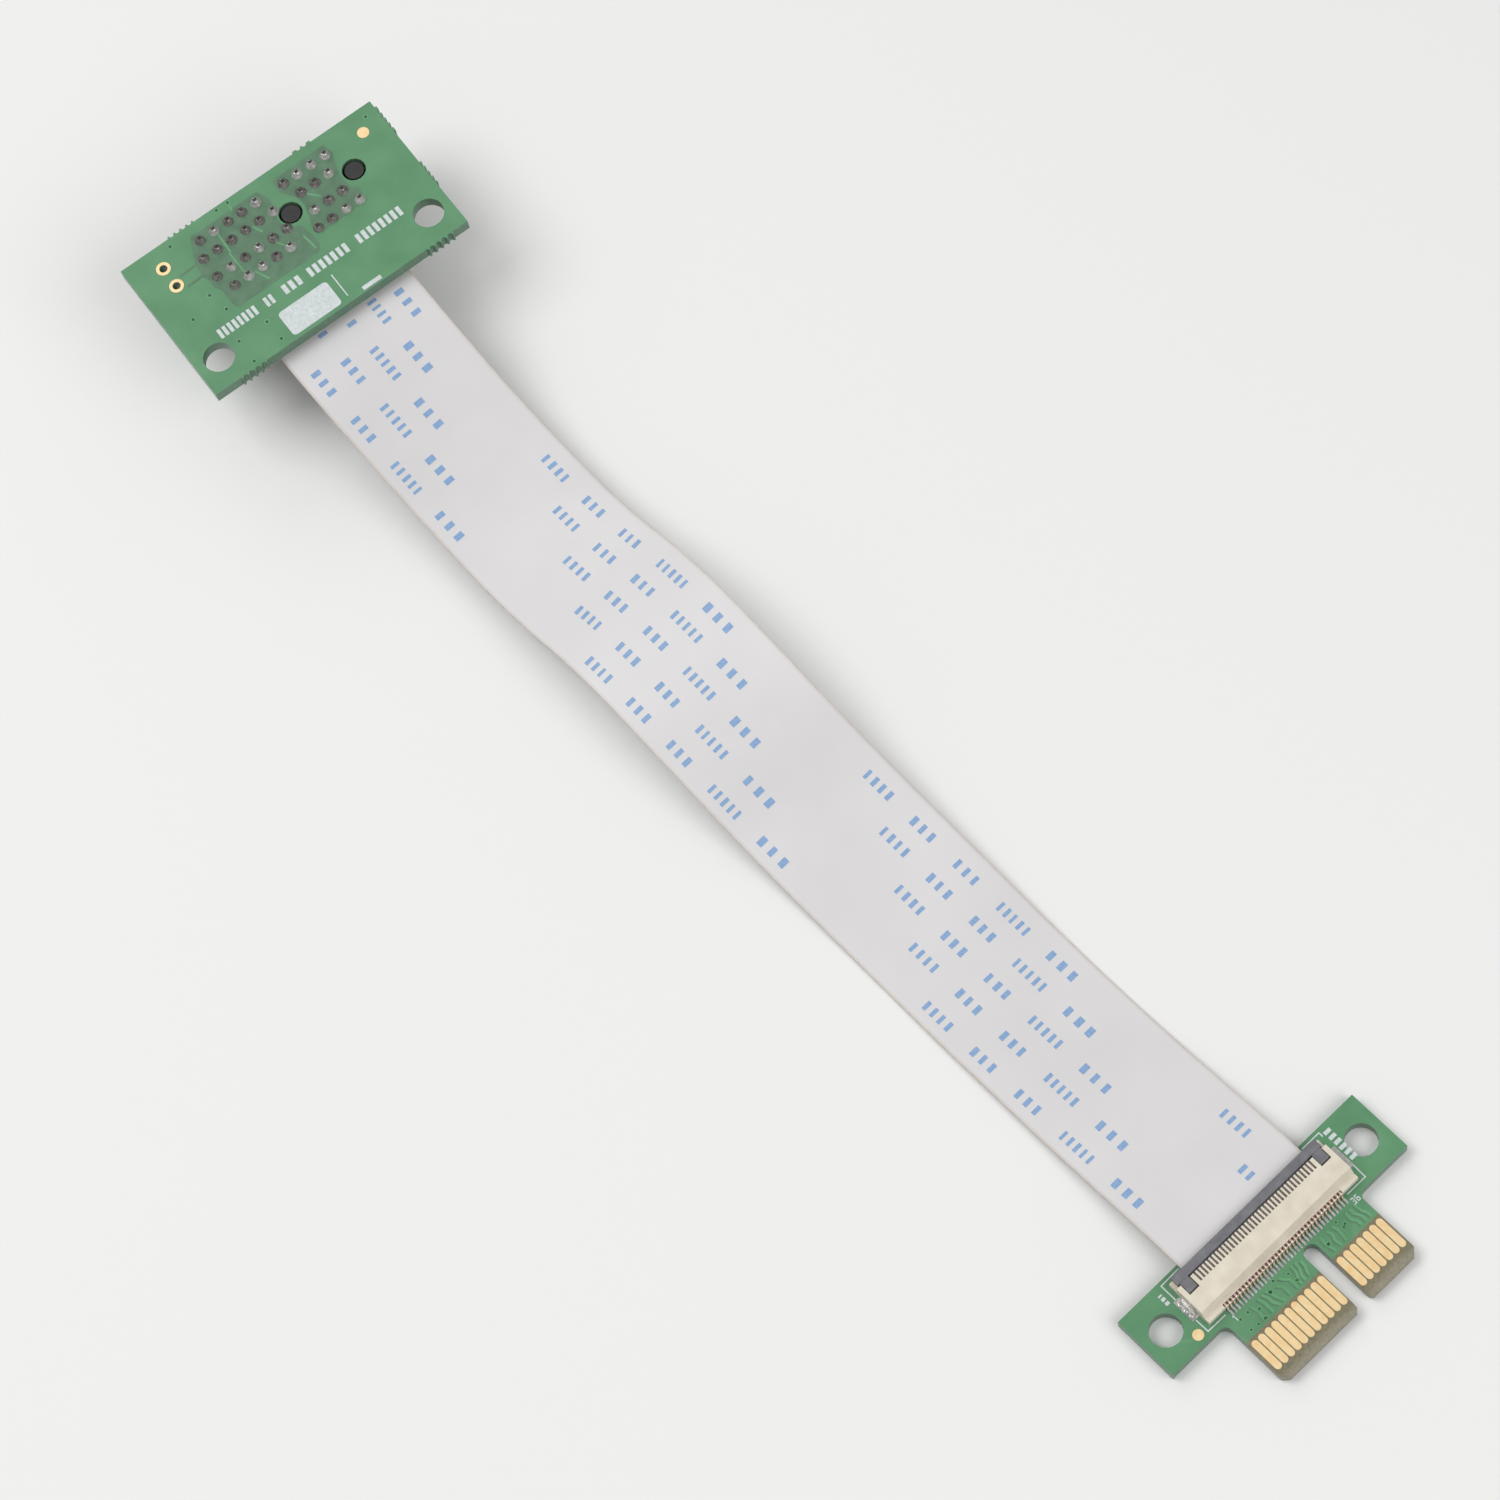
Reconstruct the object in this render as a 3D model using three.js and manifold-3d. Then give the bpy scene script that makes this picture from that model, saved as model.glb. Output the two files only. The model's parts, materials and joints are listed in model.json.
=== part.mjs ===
// A flexible card-slot extender: a socket board and an edge board joined by one flat ribbon cable.
// Millimetres, +Z up. It rests on the socket's mouth and on the edge board's underside.
// The origin is the middle of the socket's key, on the face of its mouth.
import * as THREE from "three";
import { mergeVertices } from "three/addons/utils/BufferGeometryUtils.js";
import Module from "manifold-3d";

const wasm = await Module();
wasm.setup();

// Both boards
const boardLength = 36;
const boardCentreX = -2.2;
const boardThickness = 1.6;
const holeInset = 3;
const holeRadius = 1.9;
const copperHeight = 0.05;
const boardLeft = boardCentreX - boardLength / 2;
const boardRight = boardCentreX + boardLength / 2;

// How far cutting tools run past a face, and how far joined pieces reach into each other
const past = 1;
const sunk = 0.1;

// Contacts, counted from the key
const contactPitch = 1;
const firstContact = 1.5;
const longSide = 11;
const shortSide = 7;

// Card socket
const socketHeight = 11.25;
const socketEndLeft = 1.45;
const socketEndRight = 2.15;
const baseHalfWidth = 4.35;
const mouthHalfWidth = 3.75;
const waistHeight = 7;
const mouthChamfer = 0.3;
const slotMargin = 1.2;
const slotLeft = firstContact + (longSide - 1) * contactPitch + slotMargin;
const slotRight = firstContact + (shortSide - 1) * contactPitch + slotMargin;
const slotWidth = 1.8;
const slotDepth = 8.4;
const leadIn = 0.6;
const keyWidth = 1.7;
const cavityWidth = 0.7;
const cavityReach = 2.6;
const cavityLip = 0.8;
const channelDepth = 1.65;
const channelStart = 0.35;
const pegSpacing = 9.15;
const pegRadius = 1.18;
const pegClearance = 0.3;
const pegRecess = 0.2;

// Socket contacts
const innerRow = 1.5;
const outerRow = 3.8;
const contactWidth = 0.5;
const contactStock = 0.3;
const beamOffset = 1.95;
const jogRise = 0.15;
const jogFall = 0.2;
const beamMiddle = 5.15;
const beamNose = 0.75;
const noseHeight = 3.4;
const tipOffset = 1.3;
const tipHeight = 1.5;
const pinProud = 0.85;
const pinHoleRadius = 0.5;
const solderRadius = 0.68;
const solderHeight = 0.72;
const solderWaist = 0.6;
const solderWaistHeight = 0.35;

// Socket board
const socketBoardBack = 6.45;
const socketBoardFront = 14.4;
const socketBoardHoleY = -10.5;
const testPadX = boardLeft + 4.2;
const testPadY = 2;
const testPadSpacing = 2.9;
const testPadRadius = 0.9;
const testHoleRadius = 0.5;
const targetRadius = 0.75;
const targetX = boardRight - 3;
const targetY = 3.4;

// Stubs along the socket board's sides, from and to, as shares of that side
const backStubs = [[0.19, 0.29], [0.69, 0.76]];
const frontStubs = [[0.1, 0.2], [0.84, 0.94]];
const endStubs = [[0.32, 0.49], [0.75, 0.95]];
const stubHeight = 0.25;
const stubRoot = 0.2;
const biteRadius = 0.32;
const bitePitch = 0.85;

// Edge board, in its own frame: x from its key, y towards the cable
const edgeBoardX = 17.87;
const edgeBoardY = -170;
const edgeBoardTurn = 7.5;
const shoulderY = 0.82;
const cableSideY = 9.08;
const edgeHoleY = 4.8;
const tabMargin = 0.65;
const tabLeft = firstContact + (longSide - 1) * contactPitch + tabMargin;
const tabRight = firstContact + (shortSide - 1) * contactPitch + tabMargin;
const tabLength = 9;
const tabFillet = 1;
const tabCorner = 0.7;
const notchWidth = 1.9;
const notchDepth = 8.9;
const bevelLength = 1.1;
const bevelDepth = 0.35;
const fingerWidth = 0.85;
const fingerLength = 4.2;
const fingerSetback = 1.4;
const edgeTargetX = boardLeft + 5.1;
const edgeTargetY = 2;
const edgeTargetRadius = 0.65;

// Ribbon cable
const ribbonWidth = 18.5;
const ribbonThickness = 0.3;
const ribbonSteps = 64;

// Ribbon connectors, each in its own frame: y from the tails' ends to the cable's mouth
const ribbonConnectorX = -2.1;
const socketConnectorY = -6.3;
const edgeConnectorY = 1;
const ribbonContacts = 36;
const ribbonPitch = 0.5;
const tailWidth = 0.2;
const tailHeight = 0.18;
const tailLength = 1.1;
const housingBack = 0.9;
const housingFoot = 1;
const housingStep = 1.55;
const housingTopBack = 2.08;
const housingHeight = 2;
const roofFront = 5.75;
const floorFront = 6.95;
const cheekFloor = 1;
const cheekWall = 0.6;
const mouthStart = 2.6;
const mouthFloor = 0.6;
const mouthHeight = 0.6;
const mouthRoof = mouthFloor + mouthHeight;
const mouthMiddle = mouthFloor + mouthHeight / 2;
const mouthClearance = 0.1;
const mouthHalfSpan = ribbonWidth / 2 + mouthClearance;
const combLength = 1.17;
const combSlotWidth = 0.27;
const notchWide = 1.45;
const notchDeep = 1.45;
const notchOutside = mouthHalfSpan + notchWide;
const notchBack = roofFront - notchDeep;
const housingHalfWidth = notchOutside + cheekWall;

// Lock bars: the arms lie in the housing's notches with room around them
const armRadius = 0.38;
const armSideRoom = 0.1;
const armFloorRoom = 0.12;
const armInside = mouthHalfSpan + armSideRoom;
const armOutside = notchOutside - armSideRoom;
const pivotY = notchBack + armRadius + armFloorRoom;
const pivotZ = cheekFloor + armRadius + armFloorRoom;
const pivotRadius = 0.25;
const pivotClearance = 0.1;
const pivotReach = notchOutside + 0.4;
const barHalfLength = notchOutside + 0.15;
const barInside = roofFront + 0.25;
const barDepth = 1.11;
const barBottom = mouthFloor + 0.55;
const barTop = housingHeight - 0.05;
const barToe = 0.1;
const barBrow = 0.2;

// Tinned hold-downs at the housings' ends
const holdDownLength = 2.4;
const holdDownY = 2.7;
const holdDownHeight = 1.1;
const holdDownStock = 0.2;
const holdDownFoot = 0.7;
const holdDownShoulder = 0.3;

// The cable's route from the socket: x, y, and its height as a share of its height in the nearer mouth
const socketMouthZ = socketHeight - mouthMiddle;
const edgeMouthZ = copperHeight + boardThickness + mouthMiddle;
const socketRoute = [
  [ribbonConnectorX, socketConnectorY - 3, 1], [ribbonConnectorX, socketConnectorY - 6.3, 1],
  [-2.05, -15.8, 0.995], [-1.85, -19.6, 0.928], [-1.5, -24, 0.792], [-1, -29.5, 0.609],
  [-0.4, -35.5, 0.444], [0.2, -42, 0.348], [0.85, -49.5, 0.348], [1.65, -56.6, 0.444],
  [2.5, -62.5, 0.57], [3.3, -69.5, 0.647], [4.1, -78, 0.609], [4.95, -86.4, 0.483],
];
const edgeRoute = [
  [5.85, -93.5, 1.255], [6.75, -100.5, 0.784], [7.7, -108, 0.471], [8.65, -116, 0.275],
  [9.65, -124.5, 0.176], [10.75, -133, 0.157], [11.9, -141.5, 0.235], [13.1, -150, 0.51],
];
const edgeEntry = [[13.8, 0.824], [9.8, 0.98], [7.15, 1], [2.9, 1]];

const materials = {
  boardGreen: new THREE.MeshStandardMaterial({ color: 0x4f9362, roughness: 0.45, metalness: 0.05 }),
  blackPlastic: new THREE.MeshStandardMaterial({ color: 0x1c1c1e, roughness: 0.55, metalness: 0 }),
  ivoryPlastic: new THREE.MeshStandardMaterial({ color: 0xd9d0bf, roughness: 0.5, metalness: 0 }),
  lockGrey: new THREE.MeshStandardMaterial({ color: 0x56575b, roughness: 0.5, metalness: 0 }),
  tinnedMetal: new THREE.MeshStandardMaterial({ color: 0xb4b4b0, roughness: 0.35, metalness: 0.9 }),
  ribbonWhite: new THREE.MeshStandardMaterial({ color: 0xdedbd9, roughness: 0.4, metalness: 0 }),
};

// Joins and cuts, on closed meshes whose shared vertices are merged
function solidOf(geometry) {
  const bare = geometry.clone();
  bare.deleteAttribute("normal");
  bare.deleteAttribute("uv");
  const merged = mergeVertices(bare, 1e-5);
  const vertProperties = new Float32Array(merged.attributes.position.array);
  const triVerts = new Uint32Array(merged.index.array);
  return new wasm.Manifold(new wasm.Mesh({ numProp: 3, vertProperties, triVerts }));
}

function geometryOf(solid) {
  const mesh = solid.getMesh();
  const geometry = new THREE.BufferGeometry();
  geometry.setAttribute("position", new THREE.BufferAttribute(mesh.vertProperties, 3));
  geometry.setIndex(new THREE.BufferAttribute(mesh.triVerts, 1));
  geometry.computeVertexNormals();
  return geometry;
}

function join(first, ...others) {
  return others.reduce((whole, piece) => whole.add(solidOf(piece)), solidOf(first));
}

function cut(solid, pieces) {
  return pieces.reduce((rest, piece) => rest.subtract(solidOf(piece)), solid);
}

// A block between two corners
function block(x0, x1, y0, y1, z0, z1) {
  const geometry = new THREE.BoxGeometry(Math.abs(x1 - x0), Math.abs(y1 - y0), Math.abs(z1 - z0));
  return geometry.translate((x0 + x1) / 2, (y0 + y1) / 2, (z0 + z1) / 2);
}

// An upright round post or drill
function post(x, y, radius, z0, z1, sides) {
  const geometry = new THREE.CylinderGeometry(radius, radius, z1 - z0, sides);
  return geometry.rotateX(Math.PI / 2).translate(x, y, (z0 + z1) / 2);
}

// A side profile of (y, z) points drawn along x
function alongX(points, x0, x1) {
  const shape = new THREE.Shape(points.map(([y, z]) => new THREE.Vector2(y, z)));
  const geometry = new THREE.ExtrudeGeometry(shape, { depth: x1 - x0, bevelEnabled: false });
  const axes = [new THREE.Vector3(0, 1, 0), new THREE.Vector3(0, 0, 1), new THREE.Vector3(1, 0, 0)];
  return geometry.applyMatrix4(new THREE.Matrix4().makeBasis(...axes)).translate(x0, 0, 0);
}

// A flat outline given thickness
function plate(shape, z0, thickness, curveSegments) {
  const settings = { depth: thickness, bevelEnabled: false, curveSegments };
  return new THREE.ExtrudeGeometry(shape, settings).translate(0, 0, z0);
}

function addMesh(group, name, geometry, material) {
  const mesh = new THREE.Mesh(geometry, material);
  mesh.name = name;
  group.add(mesh);
  return mesh;
}

// Strip metal bent along a path of (y, z) points, with mitred bends
function stripOutline(path, stock) {
  const side = (sign) => path.map(([y, z], i) => {
    const before = path[Math.max(i - 1, 0)];
    const after = path[Math.min(i + 1, path.length - 1)];
    const into = new THREE.Vector2(y - before[0], z - before[1]).normalize();
    const out = new THREE.Vector2(after[0] - y, after[1] - z).normalize();
    if (i === 0) into.copy(out);
    if (i === path.length - 1) out.copy(into);
    const bisector = into.clone().add(out).normalize();
    const reach = (sign * stock) / 2 / bisector.dot(into);
    return [y - bisector.y * reach, z + bisector.x * reach];
  });
  return [...side(1), ...side(-1).reverse()];
}

// Where the contacts and the gold fingers lie along x, and which row each tail takes
const contactPlaces = [];
for (let i = 0; i < longSide; i += 1) {
  contactPlaces.push({ x: -firstContact - i * contactPitch, row: i % 2 === 0 ? innerRow : outerRow });
}
for (let i = 0; i < shortSide; i += 1) {
  contactPlaces.push({ x: firstContact + i * contactPitch, row: i % 2 === 0 ? outerRow : innerRow });
}
contactPlaces.sort((a, b) => a.x - b.x);
const boardTop = socketHeight + boardThickness;
const holePlaces = [boardLeft + holeInset, boardRight - holeInset];

// Black card socket: the slot opens downwards, and the pegs pass up through the board
function socketHousing() {
  const neck = baseHalfWidth - mouthHalfWidth;
  const profile = [
    [-mouthHalfWidth + mouthChamfer, 0], [mouthHalfWidth - mouthChamfer, 0], [mouthHalfWidth, mouthChamfer],
    [mouthHalfWidth, waistHeight], [baseHalfWidth, waistHeight + neck], [baseHalfWidth, socketHeight],
    [-baseHalfWidth, socketHeight], [-baseHalfWidth, waistHeight + neck], [-mouthHalfWidth, waistHeight],
    [-mouthHalfWidth, mouthChamfer],
  ];
  const pegTop = boardTop - pegRecess;
  const pegs = [0, pegSpacing].map((x) => post(x, 0, pegRadius, socketHeight - past, pegTop, 16));
  const body = join(alongX(profile, -slotLeft - socketEndLeft, slotRight + socketEndRight), ...pegs);
  const half = slotWidth / 2;
  const tools = [];
  for (const [x0, x1] of [[-slotLeft, -keyWidth / 2], [keyWidth / 2, slotRight]]) {
    tools.push(alongX([
      [-half - leadIn, -past], [half + leadIn, -past], [half + leadIn, 0], [half, leadIn],
      [half, slotDepth], [-half, slotDepth], [-half, leadIn], [-half - leadIn, 0],
    ], x0, x1));
  }
  const channelFloor = socketHeight - channelDepth;
  for (const { x, row } of contactPlaces) {
    for (const side of [-1, 1]) {
      const [x0, x1] = [x - cavityWidth / 2, x + cavityWidth / 2];
      const channelEnd = row === outerRow ? baseHalfWidth + past : cavityReach;
      const channelInside = side * (innerRow - channelStart);
      tools.push(block(x0, x1, side * (half - sunk), side * cavityReach, cavityLip, channelFloor + sunk));
      tools.push(block(x0, x1, channelInside, side * channelEnd, channelFloor, socketHeight + past));
    }
  }
  return geometryOf(cut(body, tools));
}

// One spring contact with its tail through the board and its cone of solder
function socketContact(x, row, side) {
  const jog = socketHeight - channelDepth / 2;
  const path = [
    [row, boardTop + pinProud], [row, jog + jogRise], [beamOffset, jog - jogFall], [beamOffset, waistHeight],
    [(beamOffset + beamNose) / 2, beamMiddle], [beamNose, noseHeight], [tipOffset, tipHeight],
  ].map(([y, z]) => [side * y, z]);
  const strip = alongX(stripOutline(path, contactStock), x - contactWidth / 2, x + contactWidth / 2);
  const cone = new THREE.LatheGeometry([
    new THREE.Vector2(0, 0), new THREE.Vector2(solderRadius, 0),
    new THREE.Vector2(solderRadius * solderWaist, solderHeight * solderWaistHeight),
    new THREE.Vector2(0, solderHeight),
  ], 6);
  cone.rotateX(Math.PI / 2).translate(x, side * row, boardTop);
  return geometryOf(join(strip, cone));
}

// Rough stubs left where a board was snapped from its panel: a low step with round bites in it
function breakTab(along, from, to, edge, z0, out) {
  const place = (a, b) => (along === "x" ? [a, b] : [b, a]);
  const [xa, ya] = place(from, edge - stubRoot * out);
  const [xb, yb] = place(to, edge + stubHeight * out);
  const stub = block(xa, xb, ya, yb, z0, z0 + boardThickness);
  const bites = [];
  const count = Math.floor((to - from) / bitePitch);
  for (let i = 0; i < count; i += 1) {
    const middle = (from + to) / 2 + (i - (count - 1) / 2) * bitePitch;
    const [x, y] = place(middle, edge + stubHeight * out);
    bites.push(post(x, y, biteRadius, z0 - past, z0 + boardThickness + past, 8));
  }
  return { stub, bites };
}

function socketBoard() {
  const slab = block(boardLeft, boardRight, -socketBoardFront, socketBoardBack, socketHeight, boardTop);
  const depth = socketBoardFront + socketBoardBack;
  const tabs = [
    ...backStubs.map((share) => ["x", share, boardLeft, boardLength, socketBoardBack, 1]),
    ...frontStubs.map((share) => ["x", share, boardLeft, boardLength, -socketBoardFront, -1]),
    ...endStubs.map((share) => ["y", share, -socketBoardFront, depth, boardRight, 1]),
  ].map(([along, [from, to], start, span, edge, out]) => (
    breakTab(along, start + from * span, start + to * span, edge, socketHeight, out)
  ));
  const testPlaces = [testPadY + testPadSpacing / 2, testPadY - testPadSpacing / 2];
  const pad = (x, y, radius) => post(x, y, radius, boardTop - sunk, boardTop + copperHeight, 20);
  const pads = testPlaces.map((y) => pad(testPadX, y, testPadRadius));
  pads.push(pad(targetX, targetY, targetRadius));
  const drills = [];
  const drill = (x, y, radius, sides) => {
    drills.push(post(x, y, radius, socketHeight - past, boardTop + past, sides));
  };
  for (const x of holePlaces) drill(x, socketBoardHoleY, holeRadius, 32);
  for (const x of [0, pegSpacing]) drill(x, 0, pegRadius + pegClearance, 16);
  for (const y of testPlaces) drill(testPadX, y, testHoleRadius, 12);
  for (const { x, row } of contactPlaces) {
    for (const side of [-1, 1]) drill(x, side * row, pinHoleRadius, 6);
  }
  const body = join(slab, ...tabs.map((tab) => tab.stub), ...pads);
  return geometryOf(cut(body, [...tabs.flatMap((tab) => tab.bites), ...drills]));
}

// Edge board: a wide part with two holes, and a tab with gold fingers on both faces and the key notch
function edgeBoardOutline() {
  const tip = shoulderY - tabLength;
  const notchEnd = tip + notchDepth - notchWidth / 2;
  const shape = new THREE.Shape();
  shape.moveTo(boardLeft, shoulderY);
  shape.lineTo(-tabLeft - tabFillet, shoulderY);
  shape.absarc(-tabLeft - tabFillet, shoulderY - tabFillet, tabFillet, Math.PI / 2, 0, true);
  shape.lineTo(-tabLeft, tip + tabCorner);
  shape.lineTo(-tabLeft + tabCorner, tip);
  shape.lineTo(-notchWidth / 2 - tabCorner / 2, tip);
  shape.lineTo(-notchWidth / 2, tip + tabCorner / 2);
  shape.absarc(0, notchEnd, notchWidth / 2, Math.PI, 0, true);
  shape.lineTo(notchWidth / 2, tip + tabCorner / 2);
  shape.lineTo(notchWidth / 2 + tabCorner / 2, tip);
  shape.lineTo(tabRight - tabCorner, tip);
  shape.lineTo(tabRight, tip + tabCorner);
  shape.absarc(tabRight + tabFillet, shoulderY - tabFillet, tabFillet, Math.PI, Math.PI / 2, true);
  shape.lineTo(boardRight, shoulderY);
  shape.lineTo(boardRight, cableSideY);
  shape.lineTo(boardLeft, cableSideY);
  shape.closePath();
  return shape;
}

// A finger's outline: a strip with round ends
function fingerOutline(x) {
  const half = fingerWidth / 2;
  const low = shoulderY - tabLength + fingerSetback + half;
  const shape = new THREE.Shape();
  shape.absarc(x, low, half, Math.PI, 0, false);
  shape.absarc(x, low + fingerLength - fingerWidth, half, 0, Math.PI, false);
  shape.closePath();
  return shape;
}

function edgeBoard() {
  const bottom = copperHeight;
  const top = bottom + boardThickness;
  const tip = shoulderY - tabLength;
  const padThickness = boardThickness + 2 * copperHeight;
  const fingers = contactPlaces.map(({ x }) => plate(fingerOutline(x), 0, padThickness, 3));
  const target = post(edgeTargetX, edgeTargetY, edgeTargetRadius, top - sunk, top + copperHeight, 20);
  const drills = holePlaces.map((x) => post(x, edgeHoleY, holeRadius, bottom - past, top + past, 32));
  const slope = bevelDepth / bevelLength;
  const bevels = [[top, 1], [bottom, -1]].map(([face, out]) => alongX([
    [tip - past, face + past * out], [tip - past, face - (bevelDepth + slope * past) * out],
    [tip + bevelLength, face], [tip + bevelLength, face + past * out],
  ], -tabLeft - past, tabRight + past));
  const body = join(plate(edgeBoardOutline(), bottom, boardThickness, 6), ...fingers, target);
  return geometryOf(cut(body, [...drills, ...bevels]));
}

// Ribbon connector housing: floor, comb roof, cheeks with notches for the lock bar's arms, and tails
function ribbonHousing() {
  const roof = [
    [housingTopBack, housingHeight], [housingStep, housingFoot],
    [housingBack, housingFoot], [housingBack, 0],
  ];
  const middle = alongX([
    [floorFront, 0], [floorFront, mouthFloor], [mouthStart, mouthFloor], [mouthStart, mouthRoof],
    [roofFront, mouthRoof], [roofFront, housingHeight], ...roof,
  ], -mouthHalfSpan, mouthHalfSpan);
  const cheekProfile = [
    [floorFront, 0], [floorFront, cheekFloor], [roofFront, cheekFloor], [roofFront, housingHeight], ...roof,
  ];
  const cheeks = [-1, 1].map((side) => {
    const [x0, x1] = [side * mouthHalfSpan, side * housingHalfWidth].sort((a, b) => a - b);
    return alongX(cheekProfile, x0, x1);
  });
  const tails = [];
  const tools = [];
  for (let i = 0; i < ribbonContacts; i += 1) {
    const x = (i - (ribbonContacts - 1) / 2) * ribbonPitch;
    tails.push(block(x - tailWidth / 2, x + tailWidth / 2, 0, tailLength, 0, tailHeight));
    const [x0, x1] = [x - combSlotWidth / 2, x + combSlotWidth / 2];
    const slot = [roofFront - combLength, roofFront + past];
    tools.push(block(x0, x1, ...slot, mouthRoof - sunk, housingHeight + past));
  }
  for (const side of [-1, 1]) {
    const notch = [side * mouthHalfSpan, side * notchOutside];
    tools.push(block(...notch, notchBack, roofFront + past, cheekFloor, housingHeight + past));
    const boreRadius = pivotRadius + pivotClearance;
    tools.push(crossPost(side * (notchOutside - sunk), side * (housingHalfWidth + past), boreRadius, 12));
  }
  return geometryOf(cut(join(middle, ...cheeks, ...tails), tools));
}

// A round post or drill on a lock bar's pivot line
function crossPost(x0, x1, radius, sides) {
  const geometry = new THREE.CylinderGeometry(radius, radius, Math.abs(x1 - x0), sides);
  return geometry.rotateZ(Math.PI / 2).translate((x0 + x1) / 2, pivotY, pivotZ);
}

// Lock bar: it lies over the cable's end and flips up about the pins on its arms
function lockBar() {
  const barFront = barInside + barDepth;
  const bar = alongX([
    [barInside, barBottom], [barFront - barToe, barBottom], [barFront, barBottom + barToe],
    [barFront, barTop - barBrow], [barFront - barBrow, barTop], [barInside, barTop],
  ], -barHalfLength, barHalfLength);
  const pieces = [];
  for (const side of [-1, 1]) {
    const arm = [side * armInside, side * armOutside];
    pieces.push(block(...arm, pivotY, barInside + sunk, pivotZ - armRadius, pivotZ + armRadius));
    pieces.push(crossPost(...arm, armRadius, 16));
    pieces.push(crossPost(side * (armOutside - sunk), side * pivotReach, pivotRadius, 12));
  }
  return geometryOf(join(bar, ...pieces));
}

// Tinned fitting that holds a housing's end down to the board
function holdDown(side) {
  const inside = side * housingHalfWidth;
  const leg = [inside, inside + side * holdDownStock];
  const foot = [inside, inside + side * holdDownFoot];
  const [y0, y1] = [holdDownY, holdDownY + holdDownLength];
  const upright = block(...leg, y0 + holdDownShoulder, y1 - holdDownShoulder, 0, holdDownHeight);
  return geometryOf(join(block(...foot, y0, y1, 0, holdDownStock), upright));
}

function addRibbonConnector(group, prefix) {
  addMesh(group, `${prefix}_ribbon_housing`, ribbonHousing(), materials.ivoryPlastic);
  addMesh(group, `${prefix}_lock_bar`, lockBar(), materials.lockGrey);
  addMesh(group, `${prefix}_hold_down_left`, holdDown(-1), materials.tinnedMetal);
  addMesh(group, `${prefix}_hold_down_right`, holdDown(1), materials.tinnedMetal);
}

// A point of the edge board's frame in the whole part's frame
function edgeToWorld(x, y, z) {
  const turn = THREE.MathUtils.degToRad(edgeBoardTurn);
  return new THREE.Vector3(x, y, z).applyAxisAngle(new THREE.Vector3(0, 0, 1), turn)
    .add(new THREE.Vector3(edgeBoardX, edgeBoardY, 0));
}

// The cable's route, with its section kept level from side to side
class RibbonPath extends THREE.CatmullRomCurve3 {
  computeFrenetFrames(segments) {
    const frames = { tangents: [], normals: [], binormals: [] };
    for (let i = 0; i <= segments; i += 1) {
      const tangent = this.getTangentAt(i / segments);
      const across = new THREE.Vector3(-tangent.y, tangent.x, 0).normalize();
      frames.tangents.push(tangent);
      frames.normals.push(across);
      frames.binormals.push(new THREE.Vector3().crossVectors(tangent, across));
    }
    return frames;
  }
}

function ribbonCable() {
  const route = [
    ...socketRoute.map(([x, y, share]) => new THREE.Vector3(x, y, share * socketMouthZ)),
    ...edgeRoute.map(([x, y, share]) => new THREE.Vector3(x, y, share * edgeMouthZ)),
    ...edgeEntry.map(([y, share]) => edgeToWorld(ribbonConnectorX, edgeConnectorY + y, share * edgeMouthZ)),
  ];
  const path = new RibbonPath(route);
  const [w, h, corner] = [ribbonWidth / 2, ribbonThickness / 2, ribbonThickness / 4];
  const section = new THREE.Shape([
    [w - corner, -h], [w, -h + corner], [w, h - corner], [w - corner, h],
    [-w + corner, h], [-w, h - corner], [-w, -h + corner], [-w + corner, -h],
  ].map(([x, y]) => new THREE.Vector2(x, y)));
  return new THREE.ExtrudeGeometry(section, { steps: ribbonSteps, extrudePath: path, bevelEnabled: false });
}

const extender = new THREE.Group();
addMesh(extender, "socket_board", socketBoard(), materials.boardGreen);
addMesh(extender, "socket_housing", socketHousing(), materials.blackPlastic);
contactPlaces.forEach(({ x, row }, i) => {
  const number = String(i + 1).padStart(2, "0");
  addMesh(extender, `socket_contact_back_${number}`, socketContact(x, row, 1), materials.tinnedMetal);
  addMesh(extender, `socket_contact_front_${number}`, socketContact(x, row, -1), materials.tinnedMetal);
});

const socketConnector = new THREE.Group();
socketConnector.position.set(ribbonConnectorX, socketConnectorY, socketHeight);
socketConnector.rotation.x = Math.PI;
addRibbonConnector(socketConnector, "socket");
extender.add(socketConnector);

const edgeEnd = new THREE.Group();
edgeEnd.position.set(edgeBoardX, edgeBoardY, 0);
edgeEnd.rotation.z = THREE.MathUtils.degToRad(edgeBoardTurn);
addMesh(edgeEnd, "edge_board", edgeBoard(), materials.boardGreen);
const edgeConnector = new THREE.Group();
edgeConnector.position.set(ribbonConnectorX, edgeConnectorY, copperHeight + boardThickness);
addRibbonConnector(edgeConnector, "edge");
edgeEnd.add(edgeConnector);
extender.add(edgeEnd);

addMesh(extender, "ribbon_cable", ribbonCable(), materials.ribbonWhite);

export default extender;
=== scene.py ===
# Dresses the flexible card-slot extender: two green boards, a white ribbon, ivory connectors.
import json
import math
import random

import bmesh
import bpy
from mathutils import Matrix, Vector


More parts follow.
